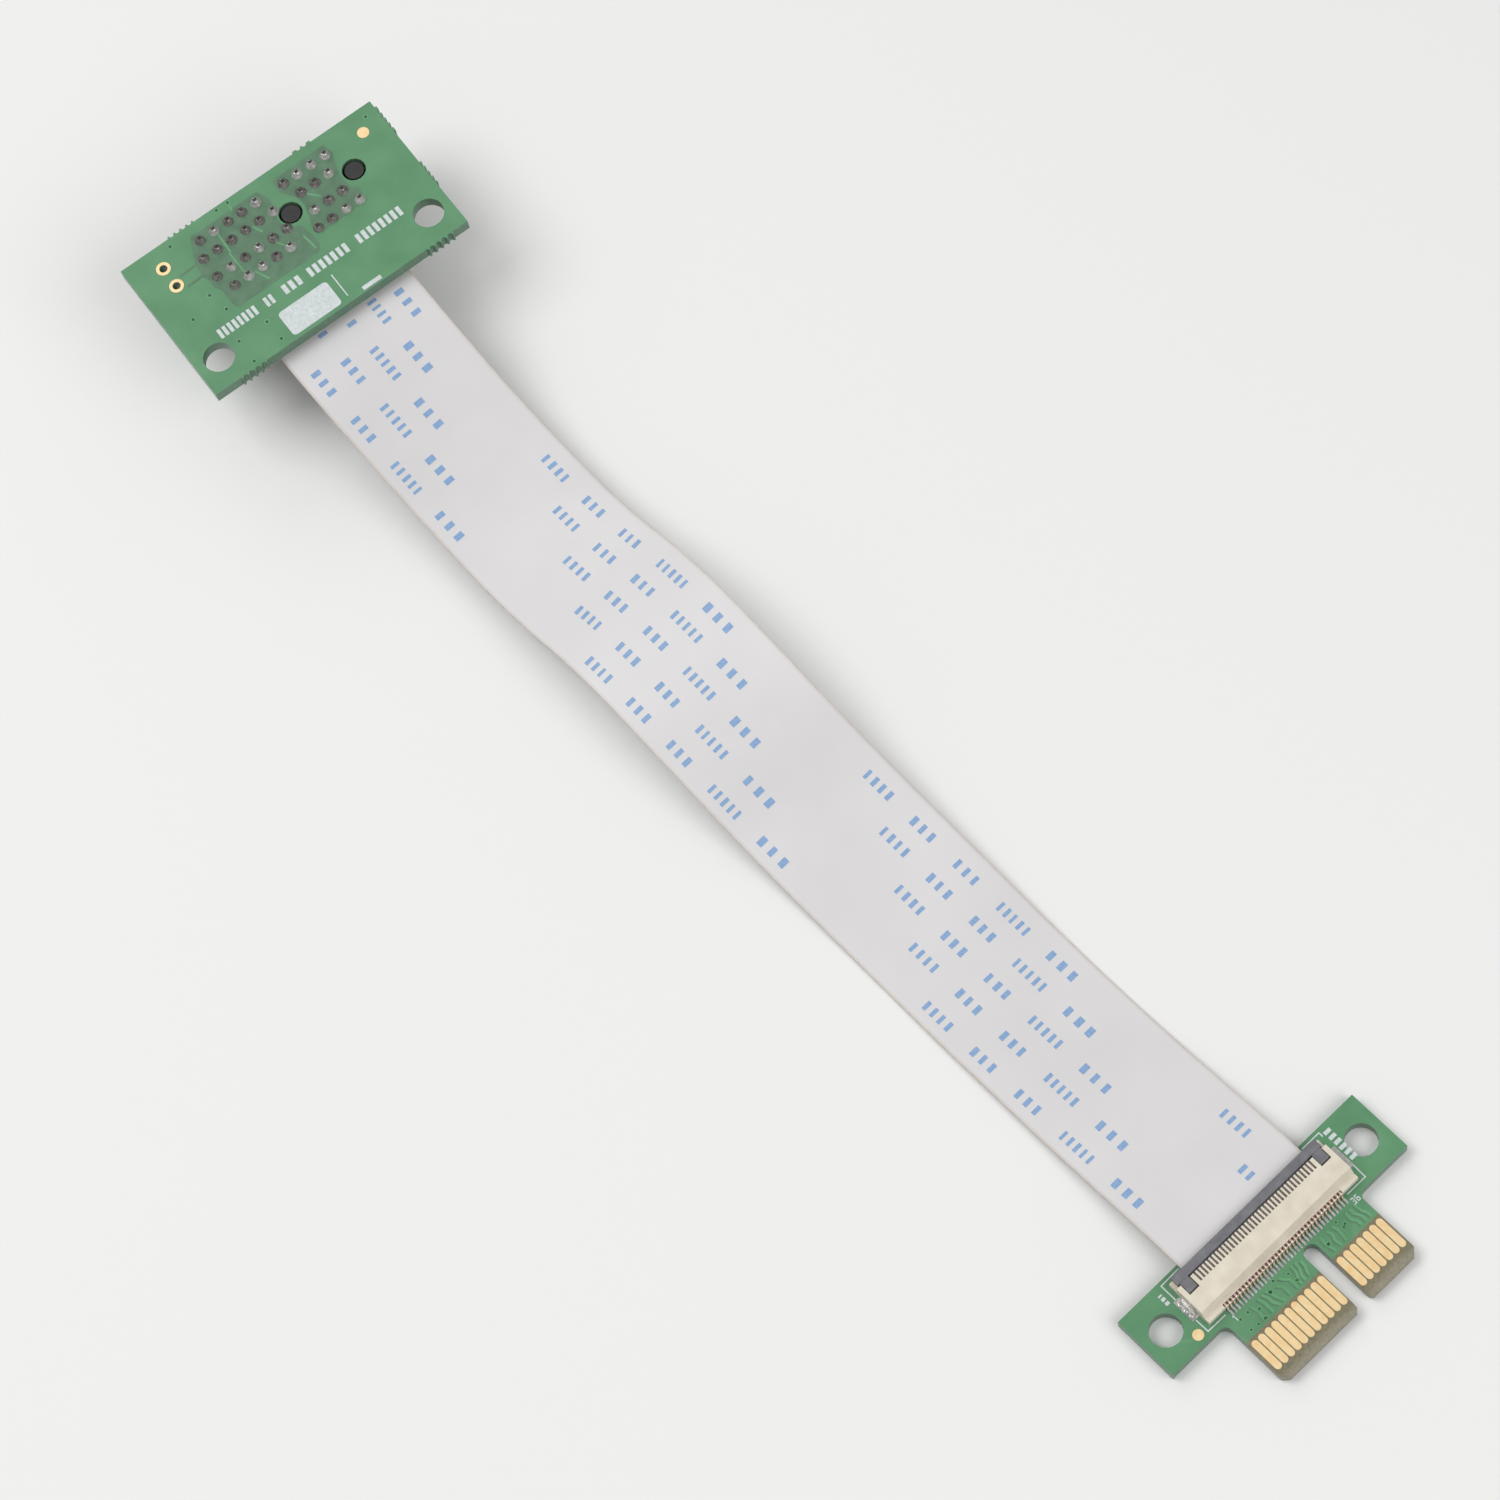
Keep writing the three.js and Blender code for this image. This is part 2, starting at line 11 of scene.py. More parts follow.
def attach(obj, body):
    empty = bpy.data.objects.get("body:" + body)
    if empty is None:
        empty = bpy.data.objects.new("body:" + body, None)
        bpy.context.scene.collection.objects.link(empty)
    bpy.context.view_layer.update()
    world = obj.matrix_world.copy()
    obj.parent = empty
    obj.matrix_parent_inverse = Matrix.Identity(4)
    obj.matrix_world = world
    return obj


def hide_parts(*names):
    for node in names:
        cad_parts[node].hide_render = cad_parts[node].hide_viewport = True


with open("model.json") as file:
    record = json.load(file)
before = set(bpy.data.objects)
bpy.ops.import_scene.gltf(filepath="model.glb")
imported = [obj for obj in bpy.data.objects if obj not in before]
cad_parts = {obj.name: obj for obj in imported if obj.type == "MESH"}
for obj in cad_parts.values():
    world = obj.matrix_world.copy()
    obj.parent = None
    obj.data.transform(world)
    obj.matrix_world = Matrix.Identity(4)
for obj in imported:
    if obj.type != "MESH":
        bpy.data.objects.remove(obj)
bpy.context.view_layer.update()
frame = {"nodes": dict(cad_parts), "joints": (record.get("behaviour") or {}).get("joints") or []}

mm = 0.001
jointOf = {joint["name"]: joint for joint in frame["joints"]}

# The edge board's own frame, found from its lock bar's hinge
edgeHinge = jointOf["edge_lock_flip"]
hingeOnEdgeBoard = Vector((-2.1, 5.8, 3.15)) * mm
edgeTurn = math.atan2(edgeHinge["axis"][1], edgeHinge["axis"][0])
edgePlace = (Matrix.Translation(edgeHinge["pos_m"]) @ Matrix.Rotation(edgeTurn, 4, "Z")
             @ Matrix.Translation(-hingeOnEdgeBoard))
socketTop = 12.85  # mm, solder side of the socket board
edgeTop = 1.65  # mm, top of the edge board
# Each ribbon connector's frame: y from the tails' ends to the cable's mouth
connectorPlace = {
    "socket": Matrix.Translation(Vector((-2.1, -6.3, 11.25)) * mm) @ Matrix.Rotation(math.pi, 4, "X"),
    "edge": edgePlace @ Matrix.Translation(Vector((-2.1, 1, edgeTop)) * mm)}


# Camera
cameraSetup = {"place": (-0.06782, -0.28109, 0.49475), "aim": (0.0046, -0.0844, 0.0),
               "roll": -16.9, "lens": 112.94}


def lookAt(place, aim):
    turn = (Vector(aim) - Vector(place)).to_track_quat("-Z", "Y")
    return Matrix.Translation(place) @ turn.to_matrix().to_4x4()


def addCamera():
    camera = bpy.data.objects.new("photoCamera", bpy.data.cameras.new("photoCamera"))
    camera.data.lens = cameraSetup["lens"]
    camera.data.sensor_width = 36
    camera.data.clip_start = 0.01
    place = Vector(cameraSetup["place"])
    roll = Matrix.Rotation(math.radians(cameraSetup["roll"]), 4, "Z")
    camera.matrix_world = lookAt(place, cameraSetup["aim"]) @ roll
    bpy.context.scene.collection.objects.link(camera)
    bpy.context.scene.camera = camera


addCamera()
print("camera set")


# Materials
grainDepth = 0.00002  # m, the most that a finish's grain stands up


def toLinear(rgb):
    return [(c / 255 / 12.92) if c <= 10 else ((c / 255 + 0.055) / 1.055) ** 2.4 for c in rgb] + [1.0]


def shader(name, rough, metal=0.0, **sockets):
    material = bpy.data.materials.new(name)
    material.use_nodes = True
    bsdf = material.node_tree.nodes["Principled BSDF"]
    bsdf.inputs["Roughness"].default_value = rough
    bsdf.inputs["Metallic"].default_value = metal
    for socket, value in sockets.items():
        bsdf.inputs[socket.replace("_", " ")].default_value = value
    return material, material.node_tree, bsdf


def addNode(tree, kind, **inputs):
    node = tree.nodes.new(kind)
    for key, value in inputs.items():
        node.inputs[key.replace("_", " ")].default_value = value
    return node


def objectNoise(tree, scale, detail=4.0, stretch=(1, 1, 1)):
    where = tree.nodes.new("ShaderNodeTexCoord")
    mapping = addNode(tree, "ShaderNodeMapping", Scale=stretch)
    noise = addNode(tree, "ShaderNodeTexNoise", Scale=scale, Detail=detail)
    tree.links.new(where.outputs["Object"], mapping.inputs["Vector"])
    tree.links.new(mapping.outputs["Vector"], noise.inputs["Vector"])
    return noise.outputs["Fac"]


def ramp(tree, source, low, high, start=0.3, end=0.7):
    node = tree.nodes.new("ShaderNodeValToRGB")
    node.color_ramp.elements[0].position = start
    node.color_ramp.elements[0].color = low
    node.color_ramp.elements[1].position = end
    node.color_ramp.elements[1].color = high
    tree.links.new(source, node.inputs["Fac"])
    return node.outputs["Color"]


def roughRange(tree, bsdf, source, low, high):
    node = addNode(tree, "ShaderNodeMapRange")
    node.inputs["To Min"].default_value = low
    node.inputs["To Max"].default_value = high
    tree.links.new(source, node.inputs["Value"])
    tree.links.new(node.outputs["Result"], bsdf.inputs["Roughness"])


def addBump(tree, bsdf, source, strength, distance):
    node = addNode(tree, "ShaderNodeBump", Strength=strength, Distance=distance)
    tree.links.new(source, node.inputs["Height"])
    tree.links.new(node.outputs["Normal"], bsdf.inputs["Normal"])


def compare(tree, source, direction, limit, bothWays=False):
    # 1 where a vector reaches further than the limit along a direction
    dot = tree.nodes.new("ShaderNodeVectorMath")
    dot.operation = "DOT_PRODUCT"
    dot.inputs[1].default_value = direction
    tree.links.new(source, dot.inputs[0])
    value = dot.outputs["Value"]
    for operation in (["ABSOLUTE"] if bothWays else []) + ["GREATER_THAN"]:
        step = tree.nodes.new("ShaderNodeMath")
        step.operation = operation
        step.inputs[1].default_value = limit
        tree.links.new(value, step.inputs[0])
        value = step.outputs[0]
    return value


def blendColour(tree, factor, low, high):
    mix = tree.nodes.new("ShaderNodeMix")
    mix.data_type = "RGBA"
    tree.links.new(factor, mix.inputs["Factor"])
    first, second = [socket for socket in mix.inputs if socket.type == "RGBA"]
    tree.links.new(low, first)
    tree.links.new(high, second)
    return [socket for socket in mix.outputs if socket.type == "RGBA"][0]


def mottled(name, dark, light, rough, metal=0.0, scale=900.0, grain=9000.0, bump=0.15):
    material, tree, bsdf = shader(name, rough, metal)
    broad = objectNoise(tree, scale)
    tree.links.new(ramp(tree, broad, toLinear(dark), toLinear(light)), bsdf.inputs["Base Color"])
    fine = objectNoise(tree, grain, 2.0)
    roughRange(tree, bsdf, fine, max(rough - 0.08, 0.05), rough + 0.08)
    addBump(tree, bsdf, fine, bump, grainDepth)
    return material


boardLook = {"mask": ((77, 129, 90), (89, 141, 101)), "core": ((70, 104, 82), (92, 126, 100)),
             "tip": ((104, 98, 74), (126, 120, 94)), "maskEnd": -2.25}


def boardMaterial(name, tab=False):
    # Solder mask on the flat faces, laminate on the sawn edges and, on the tab, past the mask's end
    material, tree, bsdf = shader(name, 0.38, 0.0, Coat_Weight=0.2, Coat_Roughness=0.25)
    looks = {key: [toLinear(rgb) for rgb in boardLook[key]] for key in ("mask", "core", "tip")}
    mask = ramp(tree, objectNoise(tree, 220.0), *looks["mask"])
    core = ramp(tree, objectNoise(tree, 2600.0, 3.0, (1, 1, 3)), *looks["core"])
    geometry = tree.nodes.new("ShaderNodeNewGeometry")
    flat = compare(tree, geometry.outputs["True Normal"], (0, 0, 1), 0.6, True)
    colour = blendColour(tree, flat, core, mask)
    if tab:
        tip = ramp(tree, objectNoise(tree, 3000.0, 3.0), *looks["tip"])
        away = -(edgePlace.to_3x3() @ Vector((0, 1, 0)))
        start = away.dot(edgePlace @ (Vector((0, boardLook["maskEnd"], 0)) * mm))
        colour = blendColour(tree, compare(tree, geometry.outputs["Position"], away, start), colour, tip)
    tree.links.new(colour, bsdf.inputs["Base Color"])
    fine = objectNoise(tree, 5200.0, 2.0)
    roughRange(tree, bsdf, fine, 0.32, 0.46)
    addBump(tree, bsdf, fine, 0.12, grainDepth)
    return material


# The warmer strip starts at rimFrom, as a share of half the width; ridges sets their pitch
ribbonLook = {"film": ((203, 201, 202), (210, 208, 209)), "rim": ((188, 178, 168), (200, 190, 180)),
              "rimFrom": 0.955, "ridges": 5.89}


def ribbonMaterial():
    # White film over flat conductors, which show as faint ridges, and a warmer strip along each edge
    material, tree, bsdf = shader("ribbonFilm", 0.42, 0.0, Coat_Weight=0.1, Coat_Roughness=0.3)
    looks = {key: [toLinear(rgb) for rgb in ribbonLook[key]] for key in ("film", "rim")}
    film = ramp(tree, objectNoise(tree, 70.0, 3.0), *looks["film"])
    where = tree.nodes.new("ShaderNodeUVMap")
    split = tree.nodes.new("ShaderNodeSeparateXYZ")
    tree.links.new(where.outputs["UV"], split.inputs["Vector"])
    rim = addNode(tree, "ShaderNodeMapRange")
    rim.inputs["From Min"].default_value = ribbonLook["rimFrom"]
    rim.inputs["From Max"].default_value = 1.0
    outward = tree.nodes.new("ShaderNodeMath")
    outward.operation = "ABSOLUTE"
    tree.links.new(split.outputs["X"], outward.inputs[0])
    tree.links.new(outward.outputs[0], rim.inputs["Value"])
    warm = ramp(tree, objectNoise(tree, 900.0), *looks["rim"])
    tree.links.new(blendColour(tree, rim.outputs["Result"], film, warm), bsdf.inputs["Base Color"])
    fine = objectNoise(tree, 1800.0, 2.0)
    roughRange(tree, bsdf, fine, 0.36, 0.48)
    ridges = addNode(tree, "ShaderNodeTexWave", Scale=ribbonLook["ridges"], Distortion=0.0)
    tree.links.new(where.outputs["UV"], ridges.inputs["Vector"])
    addBump(tree, bsdf, ridges.outputs["Fac"], 0.12, grainDepth)
    return material


look = {
    "board": boardMaterial("socketBoardMask"),
    "tabBoard": boardMaterial("edgeBoardMask", True),
    "shade": mottled("maskOverLaminate", (76, 110, 84), (90, 124, 98), 0.36, scale=700.0),
    "trace": mottled("maskOverTrace", (88, 146, 100), (100, 158, 112), 0.36, scale=900.0),
    # Dark green discs in the vias: painted shade for the inside of each hole
    "via": mottled("viaHolePaintedShade", (34, 62, 46), (52, 84, 62), 0.4, scale=3000.0),
    "gold": mottled("fingerGold", (250, 212, 152), (255, 230, 182), 0.34, 0.5, scale=1600.0, grain=14000.0),
    "knee": mottled("contactKnee", (206, 172, 158), (232, 202, 186), 0.34, 0.5, scale=3000.0),
    # Dark brown for the sheet under the contact knees: painted shade
    "recessShade": mottled("kneeRecessPaintedShade", (62, 50, 44), (84, 70, 62), 0.6, scale=3000.0),
    "solder": mottled("solderJoint", (168, 166, 164), (216, 214, 212), 0.24, 0.55, scale=2600.0, bump=0.2),
    # A darker copy of the solder: painted shade for joints that catch less light
    "solderPaintedShade": mottled("solderPaintedShade", (104, 100, 98), (156, 152, 148), 0.24, 0.55, scale=2600.0,
                          bump=0.2),
    "pinEnd": mottled("pinEnd", (44, 40, 40), (78, 72, 70), 0.42, 0.5, scale=4000.0),
    "tin": mottled("tinPlate", (178, 176, 172), (216, 214, 210), 0.28, 0.8, scale=2200.0),
    "ivory": mottled("ivoryMoulding", (204, 195, 178), (218, 210, 194), 0.5, scale=500.0, bump=0.2),
    "lock": mottled("lockMoulding", (98, 98, 103), (116, 116, 121), 0.42, scale=800.0, bump=0.25),
    "black": mottled("socketMoulding", (24, 24, 26), (38, 38, 40), 0.5, scale=600.0, bump=0.25),
    "silk": mottled("whiteLegend", (184, 192, 192), (206, 212, 213), 0.55, scale=3000.0, bump=0.3),
    "ink": mottled("blueInk", (116, 148, 190), (136, 166, 202), 0.5, scale=4200.0, bump=0.05),
    "ribbon": ribbonMaterial(),
}
print("materials made")


# Mesh helpers, all in millimetres until a piece is placed
def shadeFaces(bm, eased=(), curve=32):
    # Smooth only where faces curve into each other; flat faces keep their own normals
    limit = math.radians(curve)
    for face in bm.faces:
        bends = any(len(edge.link_faces) == 2 and 0.01 < edge.calc_face_angle(0) < limit
                    and not any(f in eased for f in edge.link_faces) for edge in face.edges)
        face.smooth = face in eased or bends
    for edge in bm.edges:
        if len(edge.link_faces) == 2 and edge.calc_face_angle(0) > limit:
            edge.smooth = False


def addPiece(name, bm, place, finishes, body="extender", nodes=(), eased=()):
    bmesh.ops.recalc_face_normals(bm, faces=bm.faces)
    shadeFaces(bm, eased)
    bm.transform(place @ Matrix.Scale(mm, 4))
    mesh = bpy.data.meshes.new(name)
    bm.to_mesh(mesh)
    bm.free()
    for finish in finishes:
        mesh.materials.append(look[finish])
    piece = bpy.data.objects.new(name, mesh)
    bpy.context.scene.collection.objects.link(piece)
    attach(piece, body)
    if nodes:
        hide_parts(*nodes)
    return piece


def addPrism(bm, outline, low, high, finish=0):
    bottom = [bm.verts.new((x, y, low)) for x, y in outline]
    top = [bm.verts.new((x, y, high)) for x, y in outline]
    faces = [bm.faces.new(bottom[::-1]), bm.faces.new(top)]
    for i in range(len(outline)):
        j = (i + 1) % len(outline)
        faces.append(bm.faces.new((bottom[i], bottom[j], top[j], top[i])))
    for face in faces:
        face.material_index = finish


def bar(x0, x1, y0, y1):
    return [(x0, y0), (x1, y0), (x1, y1), (x0, y1)]


def disc(x, y, radius, sides=20):
    return [(x + radius * math.cos(2 * math.pi * i / sides), y + radius * math.sin(2 * math.pi * i / sides))
            for i in range(sides)]


def addLine(bm, points, width, low, high, finish=0):
    # A narrow raised line with mitred corners
    left, right = [], []
    for i, point in enumerate(points):
        here = Vector(point)
        into = (here - Vector(points[max(i - 1, 0)])).normalized()
        out = (Vector(points[min(i + 1, len(points) - 1)]) - here).normalized()
        if i == 0:
            into = out
        if i == len(points) - 1:
            out = into
        bisector = (into + out).normalized()
        reach = width / 2 / max(bisector.dot(into), 0.4)
        side = Vector((-bisector.y, bisector.x)) * reach
        left.append(here + side)
        right.append(here - side)
    addPrism(bm, [tuple(p) for p in right] + [tuple(p) for p in reversed(left)], low, high, finish)


def cadSolid(node):
    # A copy of the CAD solid in mm, with its flat faces made whole
    bm = bmesh.new()
    bm.from_mesh(frame["nodes"][node].data)
    bm.transform(Matrix.Scale(1 / mm, 4))
    bmesh.ops.remove_doubles(bm, verts=bm.verts, dist=0.0005)
    bmesh.ops.dissolve_limit(bm, angle_limit=math.radians(0.5), verts=bm.verts, edges=bm.edges)
    return bm


def softened(node, name, finishes, body="extender", edge=0.03, pick=None):
    # The CAD solid with its edges eased, so that they catch the light
    bm = cadSolid(node)
    for face in bm.faces:
        face.material_index = pick(face.calc_center_median()) if pick else 0
    sharp = [e for e in bm.edges if len(e.link_faces) == 2 and e.calc_face_angle(0) > math.radians(28)]
    done = bmesh.ops.bevel(bm, geom=sharp, offset=edge, segments=2, profile=0.6, affect="EDGES",
                           clamp_overlap=True)
    return addPiece(name, bm, Matrix.Identity(4), finishes, body, [node], set(done["faces"]))


# Ribbon cable: its middle line in mm, and how far it leans in degrees at distances along it
ribbonSetup = {"width": 18.5, "thick": 0.3, "ease": 0.07, "steps": 220, "across": 12,
               "route": [
                   (-2.1, -9.3, 10.35), (-2.1, -12.6, 10.35), (-2.05, -15.8, 10.3), (-1.85, -19.6, 9.6),
                   (-1.5, -24, 8.2), (-1, -29.5, 6.3), (-0.4, -35.5, 4.6), (0.2, -42, 3.6),
                   (0.85, -49.5, 3.6), (1.65, -56.6, 4.6), (2.5, -62.5, 5.9), (3.3, -69.5, 6.7),
                   (4.1, -78, 6.3), (4.95, -86.4, 5), (5.85, -93.5, 3.2), (6.75, -100.5, 2),
                   (7.7, -108, 1.2), (8.65, -116, 0.7), (9.65, -124.5, 0.45), (10.75, -133, 0.4),
                   (11.9, -141.5, 0.6), (13.1, -150, 1.3), (13.86, -155.6, 2.1), (14.38, -159.57, 2.5),
                   (14.72, -162.19, 2.55), (15.28, -166.41, 2.55)],
               "lean": [(0, 0), (10, 0), (23, -2), (40, 1), (49, 3.5), (56, 6), (62, 8), (70, 9), (79, 9),
                        (87, 8), (93, 7), (100, 5), (109, 3), (118, 0.5), (126, -0.8), (140, -0.8),
                        (152, 0), (161, 0)]}


def ribbonLine():
    points = [Vector(p) for p in ribbonSetup["route"]]
    fine = []
    for i in range(len(points) - 1):
        a, b, c, d = (points[max(i - 1, 0)], points[i], points[i + 1], points[min(i + 2, len(points) - 1)])
        for k in range(24):
            t = k / 24
            fine.append(0.5 * (2 * b + (c - a) * t + (2 * a - 5 * b + 4 * c - d) * t * t
                               + (3 * b - a - 3 * c + d) * t ** 3))
    fine.append(points[-1])
    run = [0.0]
    for i in range(1, len(fine)):
        run.append(run[-1] + (fine[i] - fine[i - 1]).length)
    return fine, run


ribbonFine, ribbonRun = ribbonLine()
ribbonLength = ribbonRun[-1]


def ribbonCentre(distance):
    distance = min(max(distance, 0.0), ribbonLength)
    low, high = 0, len(ribbonRun) - 1
    while high - low > 1:
        middle = (low + high) // 2
        if ribbonRun[middle] <= distance:
            low = middle
        else:
            high = middle
    share = (distance - ribbonRun[low]) / max(ribbonRun[high] - ribbonRun[low], 1e-9)
    return ribbonFine[low].lerp(ribbonFine[high], share)


def leanAt(distance):
    knots = ribbonSetup["lean"]
    for (a, u), (b, v) in zip(knots, knots[1:]):
        if distance <= b:
            return math.radians(u + (v - u) * max(distance - a, 0) / (b - a))
    return 0.0


def ribbonPoint(distance, across, lift):
    # A point on the ribbon: distance along it, offset to its left edge, height over its middle
    step = 0.4
    ahead = ribbonCentre(distance + step) - ribbonCentre(distance - step)
    ahead.normalize()
    side = Vector((-ahead.y, ahead.x, 0)).normalized()
    up = side.cross(ahead) * -1
    if up.z < 0:
        up.negate()
    lean = sum(leanAt(distance + shift) for shift in (-3, 0, 3)) / 3
    side, up = side * math.cos(lean) + up * math.sin(lean), up * math.cos(lean) - side * math.sin(lean)
    return ribbonCentre(distance) + side * across + up * lift


def ribbonMesh():
    bm = bmesh.new()
    uv = bm.loops.layers.uv.new("ribbon")
    half, thick, ease = ribbonSetup["width"] / 2, ribbonSetup["thick"] / 2, ribbonSetup["ease"]
    count = ribbonSetup["across"]
    top = [((half - ease) * (2 * i / count - 1), thick) for i in range(count + 1)]
    section = ([(-half, -thick + ease), (-half, thick - ease)] + top
               + [(half, thick - ease), (half, -thick + ease)] + [(x, -z) for x, z in reversed(top)])
    rings = []
    for k in range(ribbonSetup["steps"] + 1):
        distance = ribbonLength * k / ribbonSetup["steps"]
        rings.append([bm.verts.new(ribbonPoint(distance, x, z)) for x, z in section])
    for a, b in zip(rings, rings[1:]):
        for i in range(len(section)):
            j = (i + 1) % len(section)
            face = bm.faces.new((a[i], a[j], b[j], b[i]))
            for loop, k in zip(face.loops, (i, j, j, i)):
                loop[uv].uv = (section[k][0] / half, 0.5)
    bm.faces.new(rings[0])
    bm.faces.new(rings[-1][::-1])
    return bm


ribbon = addPiece("ribbonCable", ribbonMesh(), Matrix.Identity(4), ["ribbon"],
                  nodes=["ribbon_cable"])

# Print on the ribbon: rows of plain blocks, each group by its start, length and count
printSetup = {"rows": [6.6, 3.35, -0.1, -3.6, -7.2], "start": 33.2, "stagger": 6.0, "period": 56.5,
              "groups": [(0, 4.6, 4), (7.5, 4.1, 3), (14.5, 4.1, 3), (21.5, 5.1, 5), (29.5, 5.1, 3)],
              "height": 1.2, "fill": 0.44, "lift": 0.012, "from": 4.6, "to": 5.9}


def addRibbonBlock(bm, start, length, across, width):
    # A thin patch that follows the ribbon's surface
    lift = ribbonSetup["thick"] / 2 + printSetup["lift"]
    corners = []
    for along in (start, start + length):
        for side in (across - width / 2, across + width / 2):
            corners.append([ribbonPoint(along, side, lift - 0.01), ribbonPoint(along, side, lift)])
    a, b, c, d = [[bm.verts.new(p) for p in corners[index]] for index in (0, 2, 3, 1)]
    bm.faces.new((a[1], b[1], c[1], d[1]))
    bm.faces.new((d[0], c[0], b[0], a[0]))
    for p, q in ((a, b), (b, c), (c, d), (d, a)):
        bm.faces.new((p[0], q[0], q[1], p[1]))


def ribbonPrint():
    bm = bmesh.new()
    rng = random.Random(5)
    for index, row in enumerate(printSetup["rows"]):
        for repeat in range(-1, 3):
            start = printSetup["start"] + index * printSetup["stagger"] + repeat * printSetup["period"]
            for offset, length, marks in printSetup["groups"]:
                for k in range(marks):
                    along = start + offset + length * k / marks
                    stroke = length / marks * printSetup["fill"] * rng.uniform(0.85, 1.1)
                    if printSetup["from"] < along < ribbonLength - printSetup["to"] - stroke:
                        addRibbonBlock(bm, along, stroke, row, printSetup["height"])
    return addPiece("ribbonPrint", bm, Matrix.Identity(4), ["ink"])


tuple(ribbonPoint(4.2, 0, 0) * mm)
[tuple(ribbonPoint(ribbonLength * k / 60, 0, 0) * mm) for k in range(61)]
ribbonPrint()
print("ribbon made", round(ribbonLength, 1), "mm")


# Boards and mouldings that keep the CAD form, with eased edges
def onPad(top, bottom):
    return lambda centre: 1 if centre.z > top + 0.001 or centre.z < bottom - 0.001 else 0


def onTail(end):
    # The tails stand out behind the housing's back wall
    inward = (connectorPlace[end] @ Matrix.Scale(mm, 4)).inverted() @ Matrix.Scale(mm, 4)
    return lambda centre: 1 if (inward @ centre).y < 0.899 else 0


softened("socket_board", "socketBoard", ["board", "gold"], edge=0.02,
         pick=onPad(socketTop, 11.25))
softened("edge_board", "edgeBoard", ["tabBoard", "gold"], edge=0.02,
         pick=onPad(edgeTop, 0.05))
softened("socket_housing", "socketHousing", ["black"], edge=0.06)
for end in ("socket", "edge"):
    softened(f"{end}_ribbon_housing", f"{end}RibbonHousing", ["ivory", "tin"], edge=0.025,
             pick=onTail(end))
    softened(f"{end}_lock_bar", f"{end}LockBar", ["lock"], f"{end}_lock", edge=0.06)
    for side in ("left", "right"):
        softened(f"{end}_hold_down_{side}", f"{end}HoldDown{side.title()}", ["tin"],
                 edge=0.03)
print("boards and mouldings made")


# Socket contacts: the sprung strip, its pin end and a dome of solder
contactSetup = {"long": 11, "short": 7, "first": 1.5, "inner": 1.5, "outer": 3.8, "pinFrom": 0.3,
                "dome": [(0.7, 0), (0.68, 0.05), (0.6, 0.16), (0.5, 0.32), (0.42, 0.48), (0.36, 0.6),
                         (0.3, 0.66), (0.2, 0.68)], "brightShare": 0.5}


def contactPlaces():
    places = []
    for i in range(contactSetup["long"]):
        places.append((-contactSetup["first"] - i, contactSetup["inner" if i % 2 == 0 else "outer"]))
    for i in range(contactSetup["short"]):
        places.append((contactSetup["first"] + i, contactSetup["outer" if i % 2 == 0 else "inner"]))
    return sorted(places)


def addDome(bm, x, y, low, outline, finish, sides=20):
    rings = []
    for radius, height in outline:
        rings.append([bm.verts.new((*point, low + height)) for point in disc(x, y, radius, sides)])
    faces = [bm.faces.new(rings[0][::-1]), bm.faces.new(rings[-1])]
    for a, b in zip(rings, rings[1:]):
        for i in range(sides):
            j = (i + 1) % sides
            faces.append(bm.faces.new((a[i], a[j], b[j], b[i])))
    for face in faces:
        face.material_index = finish


def socketContacts():
    rng = random.Random(11)
    for number, (x, row) in enumerate(contactPlaces(), 1):
        for side, sign in (("back", 1), ("front", -1)):
            node = f"socket_contact_{side}_{number:02d}"
            bm = cadSolid(node)
            for face in bm.faces:
                isPin = face.calc_center_median().z > socketTop + contactSetup["pinFrom"]
                face.material_index = 1 if isPin else 0
            grow = rng.uniform(0.94, 1.06)
            outline = [(r * grow, z * rng.uniform(0.97, 1.03)) for r, z in contactSetup["dome"]]
            # Some joints get the bright solder and some a darker copy of it: painted shade, for joints that
            # catch less of the light
            finish = 2 if rng.random() < contactSetup["brightShare"] else 3
            addDome(bm, x, sign * row, socketTop, outline, finish)
            addPiece(f"socketContact{side.title()}{number:02d}", bm, Matrix.Identity(4),
                     ["tin", "pinEnd", "solder", "solderPaintedShade"], nodes=[node])


socketContacts()
print("socket contacts made")
